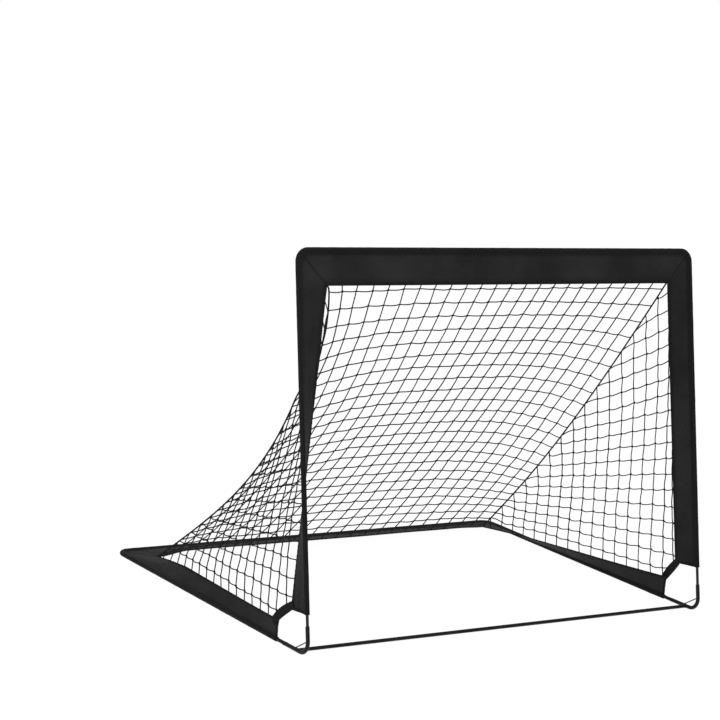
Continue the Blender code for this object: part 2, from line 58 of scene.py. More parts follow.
over = ahead * math.sin(tipped) + UP * math.cos(tipped)
right = beside * math.cos(rolled) + over * math.sin(rolled)
top = over * math.cos(rolled) - beside * math.sin(rolled)
scene = bpy.context.scene
lens = bpy.data.cameras.new("camera")
lens.sensor_width = 36
lens.lens = 118
lens.clip_end = 60
camera = bpy.data.objects.new("camera", lens)
camera.matrix_world = Matrix.Translation(CAMERA_PLACE) @ Matrix((right, top, -sight)).transposed().to_4x4()
scene.collection.objects.link(camera)
scene.camera = camera


# The studio: a plain white floor that fades into a white surround, and soft light from all round.
# A large lamp on the left and one overhead give the black cloth its faint sheen.
scene.view_settings.view_transform = "Standard"


def calculated(tree, operation, *terms):
    """A number worked out inside a material, from plain numbers and other nodes' outputs."""
    node = tree.nodes.new("ShaderNodeMath")
    node.operation = operation
    for socket, term in zip(node.inputs, terms):
        if isinstance(term, (int, float)):
            socket.default_value = term
        else:
            tree.links.new(term, socket)
    return node.outputs[0]


def mixed(tree, share, first, second, output):
    """Lead two shaders, mixed by a share, to a material's or the world's output."""
    mix = tree.nodes.new("ShaderNodeMixShader")
    tree.links.new(share, mix.inputs["Fac"])
    tree.links.new(first.outputs[0], mix.inputs[1])
    tree.links.new(second.outputs[0], mix.inputs[2])
    tree.links.new(mix.outputs[0], output.inputs["Surface"])


def surround_material():
    paper = bpy.data.materials.new("floor_paper")
    paper.use_nodes = True
    tree = paper.node_tree
    tree.nodes.clear()
    output = tree.nodes.new("ShaderNodeOutputMaterial")
    matt = tree.nodes.new("ShaderNodeBsdfDiffuse")
    matt.inputs["Color"].default_value = (0.82, 0.82, 0.82, 1)
    white = tree.nodes.new("ShaderNodeEmission")
    white.inputs["Strength"].default_value = 1.05
    path = tree.nodes.new("ShaderNodeLightPath")
    seen = calculated(tree, "MAXIMUM", path.outputs["Is Camera Ray"], path.outputs["Is Glossy Ray"])
    mixed(tree, calculated(tree, "MULTIPLY", seen, 0.93), matt, white, output)
    return paper


def placed(name, bm):
    """A new object in the scene, from a bmesh."""
    mesh = bpy.data.meshes.new(name)
    bm.to_mesh(mesh)
    bm.free()
    piece = bpy.data.objects.new(name, mesh)
    scene.collection.objects.link(piece)
    return piece


bm = bmesh.new()
bmesh.ops.create_grid(bm, x_segments=1, y_segments=1, size=14)
floor = placed("floor", bm)
floor.data.materials.append(surround_material())

air = bpy.data.worlds.new("studio_air")
air.use_nodes = True
scene.world = air
glow = air.node_tree.nodes["Background"]
glow.inputs["Color"].default_value = (1, 1, 1, 1)
glow.inputs["Strength"].default_value = 0.58
backdrop = air.node_tree.nodes.new("ShaderNodeBackground")
backdrop.inputs["Color"].default_value = (1, 1, 1, 1)
backdrop.inputs["Strength"].default_value = 1.0
path = air.node_tree.nodes.new("ShaderNodeLightPath")
world_output = air.node_tree.nodes["World Output"]
mixed(air.node_tree, path.outputs["Is Camera Ray"], glow, backdrop, world_output)

for name, place, aim, power, size in (
    ("lamp_left", (-3.4, -2.4, 2.2), (0, 0, 0.4), 135, 2.4),
    ("lamp_overhead", (0.6, -1.2, 3.6), (0, 0, 0.2), 35, 2.6),
):
    light = bpy.data.lights.new(name, "AREA")
    light.energy = power
    light.size = size
    lamp = bpy.data.objects.new(name, light)
    lamp.location = place
    lamp.rotation_euler = (Vector(aim) - Vector(place)).to_track_quat("-Z", "Y").to_euler()
    scene.collection.objects.link(lamp)


# The poles are round black fibreglass rods, smooth and slightly shiny, with a faint lengthwise grain.
# Only the foot of each post shows, between its elbow and its fabric; the rest runs inside the sleeves.
HALF_WIDTH = 0.610
FOOT_Y, HEAD_Y, REAR_Y = -0.45426, -0.25426, 0.44574
POLE_LINE, CROSSBAR_LINE = 0.0061, 0.920
POLE_R = 0.0036
ROD_ABOVE_FOOT, ROD_BELOW_HEAD = 0.0432, 0.037


def foot(side):
    return Vector((side * HALF_WIDTH, FOOT_Y, POLE_LINE))


def head(side):
    return Vector((side * HALF_WIDTH, HEAD_Y, CROSSBAR_LINE))


def rear(side):
    return Vector((side * HALF_WIDTH, REAR_Y, POLE_LINE))


UP_POST = (head(1) - foot(1)).normalized()


def hand(stem, side):
    return stem + ("_left" if side < 0 else "_right")


def shader(name, colour, rough, specular):
    """A material with one Principled shader, for a finish to be built on, and its nodes' tree."""
    finish = bpy.data.materials.new(name)
    finish.use_nodes = True
    surface = finish.node_tree.nodes["Principled BSDF"]
    surface.inputs["Base Color"].default_value = (*colour, 1)
    surface.inputs["Roughness"].default_value = rough
    surface.inputs["Specular IOR Level"].default_value = specular
    return finish, finish.node_tree


def grain(tree, scale, stretch=(1, 1, 1), detail=3.0):
    """Noise over the piece, stretched along an axis where its grain runs one way."""
    place = tree.nodes.new("ShaderNodeTexCoord")
    turn = tree.nodes.new("ShaderNodeMapping")
    turn.inputs["Scale"].default_value = stretch
    specks = tree.nodes.new("ShaderNodeTexNoise")
    specks.inputs["Scale"].default_value = scale
    specks.inputs["Detail"].default_value = detail
    tree.links.new(place.outputs["Object"], turn.inputs["Vector"])
    tree.links.new(turn.outputs["Vector"], specks.inputs["Vector"])
    return specks.outputs["Fac"]


def tint(tree, driver, dark, light, low=0.35, high=0.65):
    """Colour that goes from dark to light as the driver rises."""
    ramp = tree.nodes.new("ShaderNodeValToRGB")
    ends = ramp.color_ramp.elements
    ends[0].position, ends[1].position = low, high
    ends[0].color, ends[1].color = (*dark, 1), (*light, 1)
    tree.links.new(driver, ramp.inputs["Fac"])
    tree.links.new(ramp.outputs["Color"], tree.nodes["Principled BSDF"].inputs["Base Color"])
    return ramp


def gloss(tree, driver, smooth_at, rough_at):
    spread = tree.nodes.new("ShaderNodeMapRange")
    spread.inputs["To Min"].default_value = smooth_at
    spread.inputs["To Max"].default_value = rough_at
    tree.links.new(driver, spread.inputs["Value"])
    tree.links.new(spread.outputs["Result"], tree.nodes["Principled BSDF"].inputs["Roughness"])


def relief(tree, height, strength, distance, before=None):
    bump = tree.nodes.new("ShaderNodeBump")
    bump.inputs["Strength"].default_value = strength
    bump.inputs["Distance"].default_value = distance
    tree.links.new(height, bump.inputs["Height"])
    if before is not None:
        tree.links.new(before.outputs["Normal"], bump.inputs["Normal"])
    tree.links.new(bump.outputs["Normal"], tree.nodes["Principled BSDF"].inputs["Normal"])
    return bump


def fibreglass():
    finish, tree = shader("black_fibreglass", (0.007, 0.007, 0.0075), 0.36, 0.22)
    streaks = grain(tree, 900, (1, 1, 0.03))
    tint(tree, streaks, (0.005, 0.005, 0.0055), (0.010, 0.010, 0.0105))
    gloss(tree, streaks, 0.36, 0.50)
    relief(tree, streaks, 0.25, 0.0002)
    return finish


def finished(name, bm, material, body, replaces=(), angle=40):
    """Turn a bmesh into a shaded piece that rides on its body, or that has its placement baked in if it has
    none.
    """
    piece = placed(name, bm)
    piece.data.materials.append(material)
    piece.data.shade_smooth()
    piece.data.set_sharp_from_angle(angle=math.radians(angle))
    if body:
        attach(piece, body)
    else:
        folds(piece)
    if replaces:
        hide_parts(*replaces)
    return piece


def coated(nodes, material):
    """Give pieces of the frame their finish."""
    for node in nodes:
        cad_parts[node].data.materials.clear()
        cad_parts[node].data.materials.append(material)


def round_bar(bm, a, b, radius, sides=40):
    """Solid round bar from one point to another."""
    place = Matrix.Translation((a + b) / 2) @ (b - a).to_track_quat("Z", "Y").to_matrix().to_4x4()
    bmesh.ops.create_cone(
        bm, cap_ends=True, segments=sides, radius1=radius, radius2=radius,
        depth=(b - a).length, matrix=place,
    )


rod = fibreglass()
coated(("rear_pole", "side_pole_left", "side_pole_right", "crossbar_pole"), rod)
for side in (-1, 1):
    bm = bmesh.new()
    round_bar(bm, foot(side) + UP_POST * ROD_ABOVE_FOOT, head(side) - UP_POST * ROD_BELOW_HEAD, POLE_R)
    finished(hand("post_rod", side), bm, rod, "front_frame", [hand("post_pole", side)])


# The corner tubes are bent steel, inside the fabric of all four corners, so they only get their paint:
# satin black powder coat, faintly pebbled, worn a little paler in random patches.
def powder_coat():
    finish, tree = shader("black_powder_coat", (0.005, 0.005, 0.0055), 0.34, 0.13)
    pebbles = grain(tree, 1400, detail=2.0)
    clouds = grain(tree, 28, detail=4.0)
    tint(tree, clouds, (0.0035, 0.0035, 0.004), (0.0075, 0.0075, 0.008))
    gloss(tree, clouds, 0.26, 0.38)
    relief(tree, pebbles, 0.30, 0.00012)
    return finish


paint = powder_coat()
coated(("top_corner_left", "top_corner_right", "rear_corner_left", "rear_corner_right"), paint)


# The front elbows are bent steel tubes, painted black. The post plugs into the upper leg, and the rear
# leg ends in a rounded fork, slotted and drilled for the pivot.
ELBOW_R, ELBOW_BORE, ELBOW_BEND, ELBOW_LEG = 0.0050, 0.0039, 0.0275, 0.034
PIVOT_Y = -0.35626
EYE_THICK, FORK_PLAY, FORK_DEEP = 0.0028, 0.0006, 0.0051
FORK_END_R = ELBOW_R + 0.00003
RIVET_HOLE_R = 0.0022


def pivot(side):
    return Vector((side * HALF_WIDTH, PIVOT_Y, POLE_LINE))


def rounded(corner, toward_a, toward_b, radius, steps):
    """Arc that rounds a corner between two directions, from the first to the second."""
    a, b = toward_a.normalized(), toward_b.normalized()
    half = a.angle(b) / 2
    centre = corner + (a + b).normalized() * (radius / math.sin(half))
    start = corner + a * (radius / math.tan(half)) - centre
    axis = start.cross(corner + b * (radius / math.tan(half)) - centre)
    sweep = math.pi - 2 * half
    return [centre + Matrix.Rotation(sweep * k / steps, 3, axis) @ start for k in range(steps + 1)]


def bent_bar(bm, points, radius, sides=40, closed=False):
    """Round bar along a bent line: a circle that is extruded from point to point."""
    ways = [(b - a).normalized() for a, b in zip(points, points[1:] + points[:1])]
    if not closed:
        ways[-1] = ways[-2]
    arriving = [ways[-1] if closed else ways[0]] + ways
    facing = [(a + b).normalized() for a, b in zip(arriving, ways)]
    place = Matrix.Translation(points[0]) @ facing[0].to_track_quat("Z", "Y").to_matrix().to_4x4()
    ring = bmesh.ops.create_circle(bm, segments=sides, radius=radius, matrix=place)["verts"]
    edges = list({edge for vert in ring for edge in vert.link_edges})
    first = edges
    for k in range(1, len(points)):
        grown = bmesh.ops.extrude_edge_only(bm, edges=edges)["geom"]
        ring = [item for item in grown if isinstance(item, bmesh.types.BMVert)]
        edges = [item for item in grown if isinstance(item, bmesh.types.BMEdge)]
        edges = [edge for edge in edges if all(vert in ring for vert in edge.verts)]
        bmesh.ops.translate(bm, verts=ring, vec=points[k] - points[k - 1])
        swing = facing[k - 1].rotation_difference(facing[k]).to_matrix()
        bmesh.ops.rotate(bm, verts=ring, cent=points[k], matrix=swing)
    if closed:
        bmesh.ops.bridge_loops(bm, edges=edges + first)
    else:
        bmesh.ops.holes_fill(bm, edges=edges + first)
    bmesh.ops.recalc_face_normals(bm, faces=bm.faces)


def plate(bm, outline, thickness):
    """Flat plate across X, from an outline, with half the thickness to each side."""
    face = bm.faces.new([bm.verts.new(point - ACROSS * thickness / 2) for point in outline])
    grown = bmesh.ops.extrude_face_region(bm, geom=[face])["geom"]
    far = [item for item in grown if isinstance(item, bmesh.types.BMVert)]
    bmesh.ops.translate(bm, vec=ACROSS * thickness, verts=far)
    bmesh.ops.recalc_face_normals(bm, faces=bm.faces)


def half_round(centre, radius, toward):
    turns = [math.pi * k / 24 for k in range(25)]
    return [centre + BACK * (toward * radius * math.sin(a)) + UP * (radius * math.cos(a)) for a in turns]


def machined(bm, cuts):
    """The bmesh after each cut in turn: pairs of an operation and the bmesh of its tool."""
    blank, tools = placed("blank", bm), []
    for operation, tool_bm in cuts:
        tools.append(placed("tool", tool_bm))
        cut = blank.modifiers.new("cut", "BOOLEAN")
        cut.operation, cut.object, cut.solver = operation, tools[-1], "EXACT"
    bpy.context.view_layer.update()
    worked = bpy.data.meshes.new_from_object(blank.evaluated_get(bpy.context.evaluated_depsgraph_get()))
    for item in [blank] + tools:
        bpy.data.objects.remove(item, do_unlink=True)
    result = bmesh.new()
    result.from_mesh(worked)
    bmesh.ops.remove_doubles(result, verts=result.verts, dist=1e-6)
    return result


def softened(piece, width):
    """Rounded edges, as paint and tumbling leave them."""
    ease = piece.modifiers.new("softened", "BEVEL")
    ease.width, ease.segments, ease.limit_method = width, 2, "ANGLE"
    ease.angle_limit = math.radians(40)


def rivet_drill(side):
    tool = bmesh.new()
    round_bar(tool, pivot(side) - ACROSS * 0.012, pivot(side) + ACROSS * 0.012, RIVET_HOLE_R, 32)
    return tool


elbow_turn = math.pi / 2 + math.asin(UP_POST.y)
elbow_tangent = ELBOW_BEND * math.tan(elbow_turn / 2)
for side in (-1, 1):
    mouth = foot(side) + UP_POST * (elbow_tangent + ELBOW_LEG)
    end = pivot(side) + BACK * ELBOW_R
    bend = rounded(foot(side), UP_POST, BACK, ELBOW_BEND, 20)
    bm = bmesh.new()
    bent_bar(bm, [mouth, *bend, end], ELBOW_R)
    bore = bmesh.new()
    bent_bar(bore, [mouth + UP_POST * 0.01, *bend, end + BACK * 0.01], ELBOW_BORE)
    slot = bmesh.new()
    corners = ((-FORK_DEEP, -0.02), (0.02, -0.02), (0.02, 0.02), (-FORK_DEEP, 0.02))
    plate(slot, [pivot(side) + BACK * y + UP * z for y, z in corners], EYE_THICK + FORK_PLAY)
    rounder = bmesh.new()
    outline = half_round(pivot(side), FORK_END_R, 1)
    corners = ((-0.13, -0.007), (-0.13, 0.12), (-0.006, 0.12), (-0.006, FORK_END_R))
    outline += [pivot(side) + BACK * y + UP * z for y, z in corners]
    plate(rounder, outline, 0.03)
    cuts = [("DIFFERENCE", bore), ("DIFFERENCE", slot), ("INTERSECT", rounder)]
    bm = machined(bm, cuts + [("DIFFERENCE", rivet_drill(side))])
    elbow = finished(hand("elbow_tube", side), bm, paint, "front_frame", [hand("elbow", side)])
    softened(elbow, 0.0002)


# A thin straight wire crosses the inside of each elbow. It is welded at both ends, where a small
# round bead of weld shows under the paint.
WIRE_R, BEAD_R = 0.0014, 0.0019
WIRE_REACH = 0.026


def weld_bead(bm, centre, axis):
    bead = bmesh.ops.create_icosphere(bm, subdivisions=3, radius=BEAD_R)["verts"]
    bmesh.ops.scale(bm, vec=(1, 1, 0.7), verts=bead)
    turn = axis.to_track_quat("Z", "Y").to_matrix()
    bmesh.ops.rotate(bm, verts=bead, cent=(0, 0, 0), matrix=turn)
    for vert in bead:
        vert.co *= 1 + 0.10 * noise.noise(vert.co * 1400 + centre * 90)
    bmesh.ops.translate(bm, verts=bead, vec=centre)


for side in (-1, 1):
    high = foot(side) + UP_POST * elbow_tangent
    low = foot(side) + BACK * (elbow_tangent + WIRE_REACH)
    reach = (low - high).normalized()
    from_leg = ELBOW_R / reach.cross(UP_POST).length
    from_sill = ELBOW_R / reach.cross(BACK).length
    bm = bmesh.new()
    round_bar(bm, high + reach * from_leg * 0.8, low - reach * from_sill * 0.8, WIRE_R, 24)
    weld_bead(bm, high + reach * from_leg, reach)
    weld_bead(bm, low - reach * from_sill, reach)
    finished(hand("corner_wire", side), bm, paint, "front_frame", [hand("brace", side)], angle=60)


# The front bar is a bare painted steel tube across the mouth, lying on the ground. Its ends are cut to
# fit round the elbows' rear legs, and a bead of weld runs round each joint.
BAR_R, BAR_WELD_R = 0.0045, 0.00075
COPE_GAP = 0.0001
bar_y = FOOT_Y + elbow_tangent + 0.0137
bar_z = POLE_LINE - ELBOW_R + BAR_R
bar_end = HALF_WIDTH - 0.002
bm = bmesh.new()
round_bar(bm, Vector((-bar_end, bar_y, bar_z)), Vector((bar_end, bar_y, bar_z)), BAR_R)
cuts = []
for side in (-1, 1):
    cope = bmesh.new()
    leg = Vector((side * HALF_WIDTH, bar_y, POLE_LINE))
    round_bar(cope, leg - BACK * 0.02, leg + BACK * 0.02, ELBOW_R + COPE_GAP)
    cuts.append(("DIFFERENCE", cope))
finished("mouth_bar", machined(bm, cuts), paint, "front_frame", ["front_bar"])

for side in (-1, 1):
    leg = Vector((side * HALF_WIDTH, bar_y, POLE_LINE))
    line = []
    for k in range(48):
        a = 2 * math.pi * k / 48
        y, z = BAR_R * math.cos(a), bar_z - POLE_LINE + BAR_R * math.sin(a)
        gap = math.sqrt(max(0.0, (ELBOW_R + 2 * COPE_GAP) ** 2 - z * z))
        line.append(leg + Vector((-side * (gap + 2 * COPE_GAP), y, z)))
    bm = bmesh.new()
    bent_bar(bm, line, BAR_WELD_R, sides=10, closed=True)
    for vert in bm.verts:
        vert.co += vert.normal * 0.00018 * math.sin(vert.co.y * 5200 + vert.co.z * 3100)
        vert.co.z = max(vert.co.z, 0.0004)
    finished(hand("bar_weld", side), bm, paint, "front_frame", angle=80)


# The pivot eyes are steel sockets for the side poles, each with a flat tongue that fits the elbow's
# fork. A rivet with domed heads goes through both, and the front frame turns on it.
EYE_R, EYE_SHOULDER, EYE_RIM = 0.0045, 0.009, 0.050
RIVET_HEAD_R, RIVET_CROWN, RIVET_SHANK_R = 0.0033, 0.0013, 0.0018
rivet_flat = ELBOW_R + 0.0003
for side in (-1, 1):
    shoulder, rim = pivot(side) + BACK * EYE_SHOULDER, pivot(side) + BACK * EYE_RIM
    bm = bmesh.new()
    round_bar(bm, shoulder, rim, EYE_R)
    tongue = bmesh.new()
    root = shoulder + BACK * 0.0028
    outline = half_round(pivot(side), EYE_R - 0.0001, -1)
    plate(tongue, outline + [root - UP * 0.0044, root + UP * 0.0044], EYE_THICK)
    socket = bmesh.new()
    round_bar(socket, shoulder + BACK * 0.0056, rim + BACK * 0.01, ELBOW_BORE)
    bm = machined(bm, [("UNION", tongue), ("DIFFERENCE", socket), ("DIFFERENCE", rivet_drill(side))])
    eye = finished(hand("eye_socket", side), bm, paint, "base", [hand("pivot_eye", side)])
    softened(eye, 0.00025)

    bm = bmesh.new()
    profile = [(0.0001, rivet_flat + RIVET_CROWN)]
    for a in (0.35, 0.7, 1.05, 1.35, 1.5):
        crown = RIVET_CROWN * (0.3 + 0.7 * math.cos(a))
        profile.append((RIVET_HEAD_R * math.sin(a), rivet_flat + crown))
    profile += [(RIVET_HEAD_R, rivet_flat + 0.0001), (RIVET_HEAD_R - 0.0002, rivet_flat)]
    profile.append((RIVET_SHANK_R, rivet_flat))
    profile += [(r, -h) for r, h in reversed(profile)]
    points = [bm.verts.new((r, 0, h)) for r, h in profile]
    outline = points + [bm.edges.new(pair) for pair in zip(points, points[1:])]
    bmesh.ops.spin(bm, geom=outline, axis=UP, angle=2 * math.pi, steps=36, use_merge=True)
    bmesh.ops.remove_doubles(bm, verts=bm.verts, dist=1e-6)
    bmesh.ops.holes_fill(bm, edges=[edge for edge in bm.edges if edge.is_boundary])
    bmesh.ops.recalc_face_normals(bm, faces=bm.faces)
    bmesh.ops.rotate(bm, verts=bm.verts, cent=(0, 0, 0), matrix=Matrix.Rotation(math.pi / 2, 3, "Y"))
    bmesh.ops.translate(bm, verts=bm.verts, vec=pivot(side))
    finished(hand("domed_rivet", side), bm, paint, "base", [hand("pivot_rivet", side)])


# The bands are black bag cloth, folded round the poles and sewn through twice: beside the pole, which
# makes its sleeve, and at the inner edge. They meet in mitred seams at the corners. The post bands turn
# from the front of the goal to its sides on their way down, and the side bands stand up at the front.
BAND_WIDE, SLEEVE_R, STITCH_AT = 0.076, 0.00565, 0.0089
LAYER_APART, CLOTH_THICK, SEAM_GAP = 0.00042, 0.0007, 0.00015
CORNER_BEND = 0.028
MOUTH_IN, MOUTH_DOWN = 0.0785, 0.0825
POST_HEM_HIGH, POST_HEM_WIDE, SIDE_HEM_BACK, SIDE_HEM_HIGH = 0.108, 0.068, 0.133, 0.047
SIDE_LIFT, REAR_LIFT, GROUND_INNER_Z = 0.019, 0.0145, 0.0042


def top_inner(side):
    return head(side) - ACROSS * side * BAND_WIDE - UP_POST * BAND_WIDE


def mouth_corner(side):
    return head(side) - ACROSS * side * MOUTH_IN - UP_POST * MOUTH_DOWN


def rear_inner(side):
    corner = rear(side) - ACROSS * side * BAND_WIDE - BACK * BAND_WIDE
    corner.z = GROUND_INNER_Z
    return corner


def right_only(side, amount):
    """What the right side has more of: its corners are sewn and pulled a little higher than the left's."""
    return amount if side > 0 else 0.0


def side_pull(side, share):
    """How far the net lifts a side band's inner edge off its straight line, from the rear corner (0)."""
    corner = 0.003 + right_only(side, 0.009)
    return UP * (corner + (SIDE_LIFT - corner) * min(1.0, share / 0.25)) * (1 - share) ** 1.2


def rear_pull(share):
    """The same for the rear band, from its left corner (0) to its right one (1)."""
    corner = side_pull(-1 if share < 0.5 else 1, 0)
    near = min(1.0, min(share, 1 - share) / 0.085)
    return corner.lerp(UP * REAR_LIFT, near * near * (3 - 2 * near))


def no_pull(share):
    return UP * 0.0


def on_post(side, height):
    return foot(side) + UP_POST * ((height - POLE_LINE) / UP_POST.z)


def post_inner(side):
    low = on_post(side, POST_HEM_HIGH + right_only(side, 0.012))
    return low + UP_POST.cross(ACROSS) * POST_HEM_WIDE - ACROSS * side * (0.003 + right_only(side, 0.008))


def side_inner(side):
    height = POLE_LINE + SIDE_HEM_HIGH + right_only(side, 0.007)
    return Vector((side * HALF_WIDTH, FOOT_Y + SIDE_HEM_BACK, height))


def spaced(a, b, step):
    count = max(1, round((b - a).length / step))
    return [a.lerp(b, k / count) for k in range(1, count + 1)]


def corner_half(corner, toward_a, toward_b):
    """Second half of a rounded corner, from the mitre to its straight, and the mitre's direction."""
    mitre = (toward_b.normalized() - toward_a.normalized()).normalized()
    return rounded(corner, toward_a, toward_b, CORNER_BEND, 24)[12:], mitre


def band_shape(
    start, finish, edge_a, edge_b, last_way=None, seed=0.0, wrinkle=1.0, lowest=None, pull=no_pull
):
    """How a band lies. The result takes a distance along the pole, one over from it towards the inner
    edge and one off the middle plane, and gives the point. With over as None, off is an angle round
    the pole."""
    arc, mitre = start
    mitred_twice = last_way is None
    if mitred_twice:
        far_arc, far_mitre = finish
        points = arc + spaced(arc[-1], far_arc[-1], 0.003)[:-1] + far_arc[::-1]
        last_way = -far_mitre
    else:
        points = arc + spaced(arc[-1], finish, 0.003)
    ways = [mitre] + [(b - a).normalized() for a, b in zip(points, points[2:])] + [last_way]
    marks = [0.0]
    for a, b in zip(points, points[1:]):
        marks.append(marks[-1] + (b - a).length)
    whole = marks[-1]

    def place(along, over, off):
        k = min(max(bisect.bisect_right(marks, along) - 1, 0), len(marks) - 2)
        share = min(1.0, max(0.0, (along - marks[k]) / (marks[k + 1] - marks[k])))
        point, way = points[k].lerp(points[k + 1], share), ways[k].lerp(ways[k + 1], share).normalized()
        toward_end = min(1.0, max(0.0, along / whole))
        ruling = edge_a.lerp(edge_b, toward_end) + pull(toward_end) - point
        out = (ruling - way * ruling.dot(way)).normalized()
        face = way.cross(out)
        from_mitre = min(along, whole - along) if mitred_twice else along
        free = min(1.0, max(0.0, (from_mitre - 0.004) / 0.05))
        free = free * free * (3 - 2 * free)
        if over is None:
            loose = noise.noise(Vector((along * 38, 4 * math.cos(off), seed + 3 * math.sin(off))))
            radius = SLEEVE_R + 0.00012 + 0.00055 * free * abs(loose)
            spot = point + (out * math.cos(off) + face * math.sin(off)) * radius
            if lowest is not None:
                spot.z = max(spot.z, CLOTH_THICK / 2 + 0.0001)
            return spot
        pinch = 1 - 0.45 * math.exp(-((from_mitre / 0.0022) ** 2))
        edge = max(0.0, min(1.0, (over - STITCH_AT) / (BAND_WIDE - STITCH_AT)))
        middle = math.sin(math.pi * min(1.0, edge * 1.02)) ** 0.6 if 0 < edge < 0.98 else 0.0
        creases = 0.0011 * noise.noise(Vector((along * 5, over * 52, seed)))
        billow = 0.0022 * noise.noise(Vector((along * 7.5, over * 13, seed + 9)))
        uneven = noise.noise(Vector((along * 30, 0, seed + 5)))
        drawn_in = math.sin(along * 2 * math.pi / 0.0125 + 2.2 * uneven)
        near_stitches = math.exp(-abs(over - STITCH_AT) / 0.0055)
        near_edge = math.exp(-abs(BAND_WIDE - over) / 0.007)
        pucker = 0.00042 * drawn_in * (near_stitches + 0.7 * near_edge)
        sway = 0.0011 * noise.noise(Vector((along * 6, 1.7, seed + 20))) * edge
        uneven = noise.noise(Vector((along * 4, 2.5, seed + 30)))
        drawn = math.sin(over * 2 * math.pi / 0.0062 + 3 * uneven)
        ridges = 0.00032 * drawn * math.exp(-(((over - 0.019) / 0.011) ** 2))
        shift = wrinkle * free * ((creases + billow) * middle + pucker + sway + ridges)
        spot = point + ruling * (over / BAND_WIDE) + face * (off * pinch + shift)
        if lowest is not None:
            spot.z = max(spot.z, lowest + off * face.z)
        return spot

    return place, whole


FOLD, SLEEVE_CLEAR, EDGE_LIFT, LEAST_ROOM = math.radians(82), 0.0095, 0.018, 0.10
square_to_post = math.atan2(UP_POST.y, -UP_POST.z)
post_away = (PIVOT_Y - FOOT_Y) * UP_POST.z


def ground_edge_angle(distance):
    """Angle about the pivots of the side bands' lifted inner edge, this far from them."""
    a, b = side_inner(1) - pivot(1) + UP * EDGE_LIFT, rear_inner(1) - pivot(1) + UP * EDGE_LIFT
    a.x = b.x = 0
    if distance <= a.length:
        return math.atan2(a.z, a.y)
    if distance >= b.length:
        return math.asin(b.z / distance)
    lean = b - a
    half, full = a.dot(lean), lean.length_squared
    share = (-half + math.sqrt(half * half - full * (a.length_squared - distance**2))) / full
    spot = a + lean * share
    return math.atan2(spot.z, spot.y)


def turn_about_pivot(point):
    """How far a point of the loose fabric follows the front frame as it folds: 0 up to the side bands'
    inner edge, 1 from the posts' sleeves on, and evenly between them by its angle about the pivots. One
    rule for all of it, so that nothing tears or passes through its neighbour."""
    reach, rise = point.y - PIVOT_Y, point.z - POLE_LINE
    distance, angle = math.hypot(reach, rise), math.atan2(rise, reach)
    low = ground_edge_angle(distance)
    high = square_to_post - math.acos(min(1.0, (post_away - SLEEVE_CLEAR) / distance))
    high = min(high, low + FOLD / (1 - LEAST_ROOM))
    return min(1.0, max(0.0, (angle - low) / (high - low)))


def folds(piece):
    """The piece's placement is baked into its mesh, and how far each of its points follows the front frame
    as it folds is worked out.
    """
    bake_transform(piece)
    shares = [turn_about_pivot(vert.co) for vert in piece.data.vertices]


def cloth_uv(tree):
    """The place on the flat cloth, from the piece's own UV map."""
    place = tree.nodes.new("ShaderNodeUVMap")
    place.uv_map = "cloth"
    return place.outputs["UV"]


def woven_cloth():
    finish, tree = shader("black_bag_cloth", (0.0075, 0.0075, 0.008), 0.72, 0.12)
    split = tree.nodes.new("ShaderNodeSeparateXYZ")
    tree.links.new(cloth_uv(tree), split.inputs[0])
    threads = 2 * math.pi / 0.0016
    warp = calculated(tree, "SINE", calculated(tree, "MULTIPLY", split.outputs["X"], threads))
    weft = calculated(tree, "SINE", calculated(tree, "MULTIPLY", split.outputs["Y"], threads))
    # Clouds and slubs of colour: partly the cloth's random tone, and partly painted sheen in soft paler
    # patches.
    clouds = calculated(tree, "MULTIPLY", grain(tree, 9, detail=5.0), 0.75)
    slubs = grain(tree, 160)
    blend = calculated(tree, "ADD", clouds, calculated(tree, "MULTIPLY", slubs, 0.25))
    ramp = tint(tree, blend, (0.0055, 0.0055, 0.0058), (0.0135, 0.0135, 0.0142), 0.36, 0.64)
    # The colour is multiplied by the bands' lightness attribute, which holds painted shade: darker in the
    # sleeves and at the mitred seams, and a little darker near the inner edges.
    painted_shade = tree.nodes.new("ShaderNodeAttribute")
    painted_shade.attribute_name = "lightness"
    shade = tree.nodes.new("ShaderNodeMix")
    shade.data_type, shade.blend_type = "RGBA", "MULTIPLY"
    shade.inputs["Factor"].default_value = 1.0
    tree.links.new(ramp.outputs["Color"], shade.inputs["A"])
    tree.links.new(painted_shade.outputs["Fac"], shade.inputs["B"])
    surface = tree.nodes["Principled BSDF"]
    tree.links.new(shade.outputs["Result"], surface.inputs["Base Color"])
    gloss(tree, slubs, 0.60, 0.82)
    fine = relief(tree, calculated(tree, "MULTIPLY", warp, weft), 0.35, 0.00025)
    relief(tree, slubs, 0.25, 0.0006, before=fine)
    surface.inputs["Sheen Weight"].default_value = 0.03
    surface.inputs["Sheen Roughness"].default_value = 0.5
    return finish


cloth = woven_cloth()

# Where the cloth's cross-section turns: from the inner edge in to the stitches, round the pole, and back.
flange_steps, sleeve_steps = 12, 18
sleeve_from = math.acos(SLEEVE_R / STITCH_AT)
flange_run, sleeve_run = STITCH_AT + 0.0016 - BAND_WIDE, 2 * math.pi - 2 * sleeve_from
section = [(BAND_WIDE + flange_run * k / flange_steps, LAYER_APART) for k in range(flange_steps + 1)]
section += [(STITCH_AT, LAYER_APART * 0.45)]
section += [(None, sleeve_from + sleeve_run * k / sleeve_steps) for k in range(sleeve_steps + 1)]
section += [(over, -off) for over, off in reversed(section[: flange_steps + 2])]


def laid_out(across, along, point_at, uv_at):
    """Strip of cloth, from the point for each step across and along it, and that point's place when flat.
    Also the steps of its points, in their order."""
    bm = bmesh.new()
    layer = bm.loops.layers.uv.new("cloth")
    bmesh.ops.create_grid(bm, x_segments=across, y_segments=along, size=0.5)
    steps = {}
    for vert in bm.verts:
        steps[vert] = round((vert.co.x + 0.5) * across), round((vert.co.y + 0.5) * along)
        vert.co = point_at(*steps[vert])
    for face in bm.faces:
        for loop in face.loops:
            loop[layer].uv = uv_at(*steps[loop.vert], loop.vert.co)
    return bm, list(steps.values())


